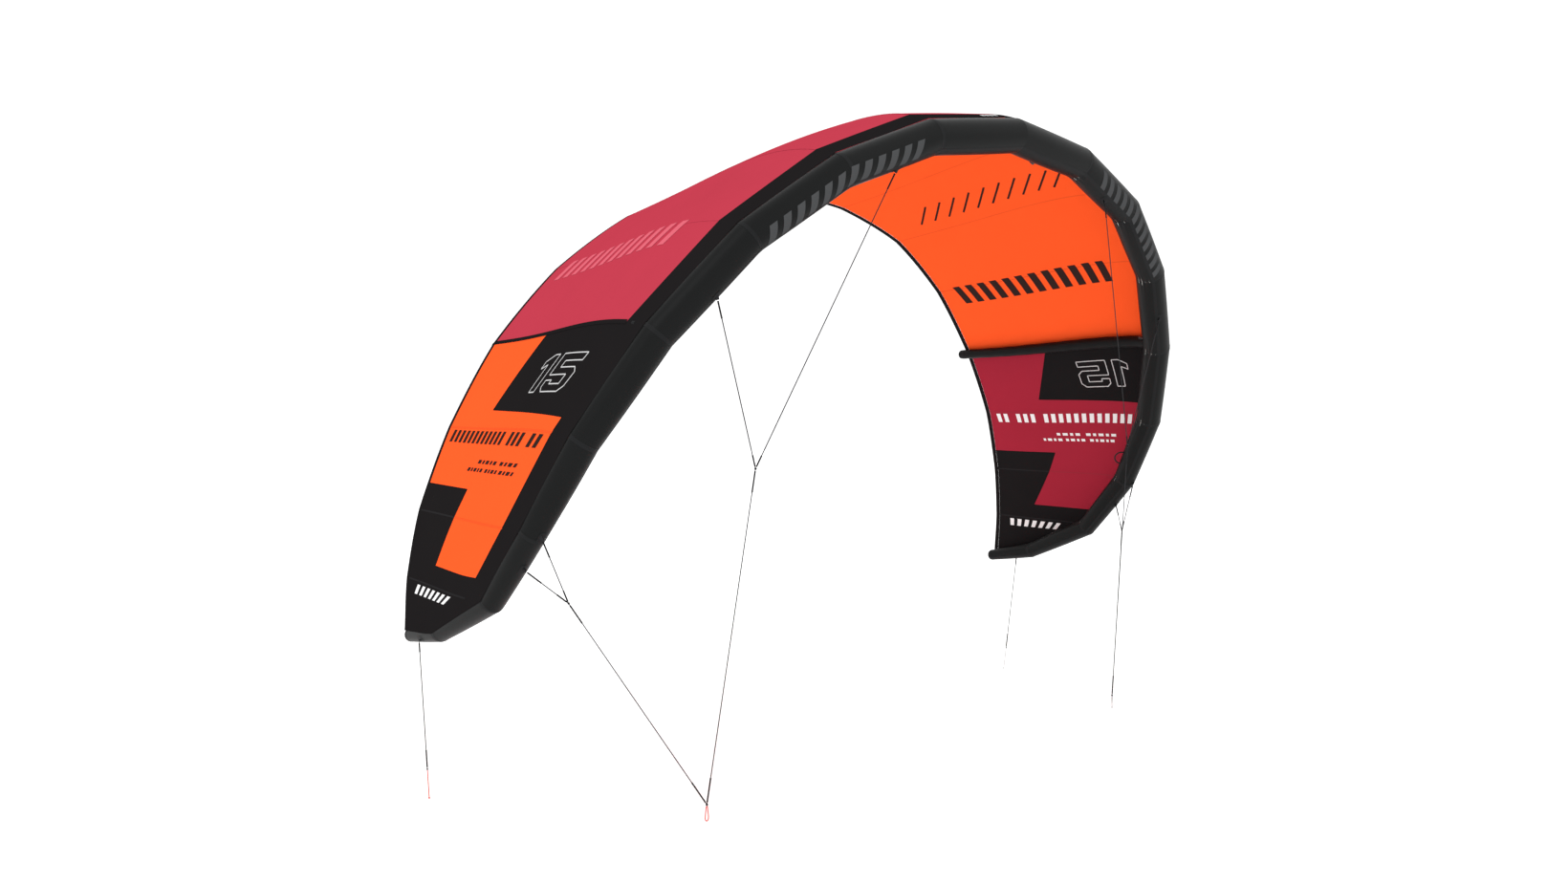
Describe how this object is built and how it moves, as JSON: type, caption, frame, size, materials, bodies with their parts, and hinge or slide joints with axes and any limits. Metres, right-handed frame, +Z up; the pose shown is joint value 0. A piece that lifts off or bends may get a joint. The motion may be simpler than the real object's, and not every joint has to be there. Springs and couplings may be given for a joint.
{
  "type": "kitesurf kite",
  "caption": "Inflatable kitesurf kite: arched black leading-edge tube with struts, a cambered cloth canopy, and front bridles and rear leaders for the flying lines.",
  "frame": {"origin": "centre of the leading-edge tube on the mirror plane", "axes": "+X along the span to the kite's right tip, +Y from the leading edge back to the trailing edge, +Z up towards the top of the arch"},
  "size_m": [5.414, 2.4329, 3.9811],
  "materials": {
    "black_tube_cloth": "woven polyester tube cloth, satin",
    "crimson_canopy_cloth": "ripstop canopy cloth, satin",
    "orange_canopy_cloth": "ripstop canopy cloth, satin",
    "black_canopy_cloth": "ripstop canopy cloth, satin",
    "clear_bladder": "translucent film",
    "webbing": "woven webbing, matt",
    "grey_line": "braided line, matt",
    "black_sleeve": "braided cover, matt",
    "red_line": "braided line, matt",
    "white_line": "braided line, matt",
    "valve_plastic": "moulded, satin",
    "hose_rubber": "smooth, satin"
  },
  "bodies": {
    "airframe": {"leading_edge_bladder": "clear_bladder", "inflate_valve": "valve_plastic", "deflate_valve": "valve_plastic", "leading_edge_casing_right": "black_tube_cloth", "leading_edge_casing_left": "black_tube_cloth", "strut_casing_right": "black_tube_cloth", "strut_casing_left": "black_tube_cloth", "strut_bladder_right": "clear_bladder", "strut_bladder_left": "clear_bladder", "seam_band_right": "black_canopy_cloth", "seam_band_left": "black_canopy_cloth", "canopy_centre_right": "orange_canopy_cloth", "canopy_centre_left": "crimson_canopy_cloth", "canopy_tip_right": "crimson_canopy_cloth", "canopy_tip_left": "orange_canopy_cloth", "canopy_wingtip_right": "black_canopy_cloth", "canopy_wingtip_left": "black_canopy_cloth", "trailing_edge_hem_right": "black_canopy_cloth", "trailing_edge_hem_left": "black_canopy_cloth", "bridle_tabs_right": "webbing", "bridle_tabs_left": "webbing", "upper_line_1_right": "grey_line", "upper_line_1_left": "grey_line", "upper_line_2_right": "grey_line", "upper_line_2_left": "grey_line", "upper_line_3_right": "grey_line", "upper_line_3_left": "grey_line", "upper_line_4_right": "grey_line", "upper_line_4_left": "grey_line", "upper_sleeves_right": "black_sleeve", "upper_sleeves_left": "black_sleeve", "one_pump_hose_right": "hose_rubber", "one_pump_hose_left": "hose_rubber", "hose_clip_right": "valve_plastic", "hose_clip_left": "valve_plastic", "side_handle_right": "webbing", "side_handle_left": "webbing"},
    "front_bridle_right": {"lower_line_inner_right": "grey_line", "lower_line_outer_right": "grey_line", "lower_sleeves_right": "black_sleeve", "bridle_knots_right": "black_sleeve"},
    "front_pigtail_right": {"front_pigtail_right": "white_line"},
    "rear_leader_right": {"rear_leader_right": "grey_line", "rear_leader_fittings_right": "black_sleeve"},
    "rear_pigtail_right": {"rear_pigtail_right": "white_line", "rear_stopper_knot_right": "white_line"},
    "front_bridle_left": {"lower_line_inner_left": "grey_line", "lower_line_outer_left": "grey_line", "lower_sleeves_left": "black_sleeve", "bridle_knots_left": "black_sleeve"},
    "front_pigtail_left": {"front_pigtail_left": "red_line"},
    "rear_leader_left": {"rear_leader_left": "grey_line", "rear_leader_fittings_left": "black_sleeve"},
    "rear_pigtail_left": {"rear_pigtail_left": "red_line", "rear_stopper_knot_left": "red_line"},
    "deflate_valve_cap": {"deflate_valve_cap": "valve_plastic"},
    "inflate_valve_cap": {"inflate_valve_cap": "valve_plastic"}
  },
  "joints": [
    {"name": "front_bridle_swing_right", "type": "hinge", "parent": "airframe", "child": "front_bridle_right", "pos_m": [1.655, 0.335, -1.85], "axis": [0.6576, 0.4794, -0.5812], "range_deg": [-25, 25]},
    {"name": "front_pigtail_swing_right", "type": "hinge", "parent": "front_bridle_right", "child": "front_pigtail_right", "pos_m": [1.815, 0.545, -3.625], "axis": [1, 0, 0], "range_deg": [-60, 60]},
    {"name": "rear_leader_swing_right", "type": "hinge", "parent": "airframe", "child": "rear_leader_right", "pos_m": [2.67095, 2.08913, -2.87523], "axis": [1, 0, 0], "range_deg": [-35, 35]},
    {"name": "rear_pigtail_swing_right", "type": "hinge", "parent": "rear_leader_right", "child": "rear_pigtail_right", "pos_m": [2.60635, 2.13839, -3.63591], "axis": [1, 0, 0], "range_deg": [-60, 60]},
    {"name": "front_bridle_swing_left", "type": "hinge", "parent": "airframe", "child": "front_bridle_left", "pos_m": [-1.655, 0.335, -1.85], "axis": [0.6576, -0.4794, 0.5812], "range_deg": [-25, 25]},
    {"name": "front_pigtail_swing_left", "type": "hinge", "parent": "front_bridle_left", "child": "front_pigtail_left", "pos_m": [-1.815, 0.545, -3.625], "axis": [1, 0, 0], "range_deg": [-60, 60]},
    {"name": "rear_leader_swing_left", "type": "hinge", "parent": "airframe", "child": "rear_leader_left", "pos_m": [-2.67095, 2.08913, -2.87523], "axis": [1, 0, 0], "range_deg": [-35, 35]},
    {"name": "rear_pigtail_swing_left", "type": "hinge", "parent": "rear_leader_left", "child": "rear_pigtail_left", "pos_m": [-2.60635, 2.13839, -3.63591], "axis": [1, 0, 0], "range_deg": [-60, 60]},
    {"name": "deflate_valve_cap_hinge", "type": "hinge", "parent": "airframe", "child": "deflate_valve_cap", "pos_m": [0.34789, 0.12519, -0.09966], "axis": [-0.0832, -0.4688, -0.8794], "range_deg": [0, 110]},
    {"name": "inflate_valve_cap_hinge", "type": "hinge", "parent": "airframe", "child": "inflate_valve_cap", "pos_m": [-0.33855, 0.12824, -0.10041], "axis": [-0.0832, 0.4688, 0.8794], "range_deg": [0, 110]}
  ]
}
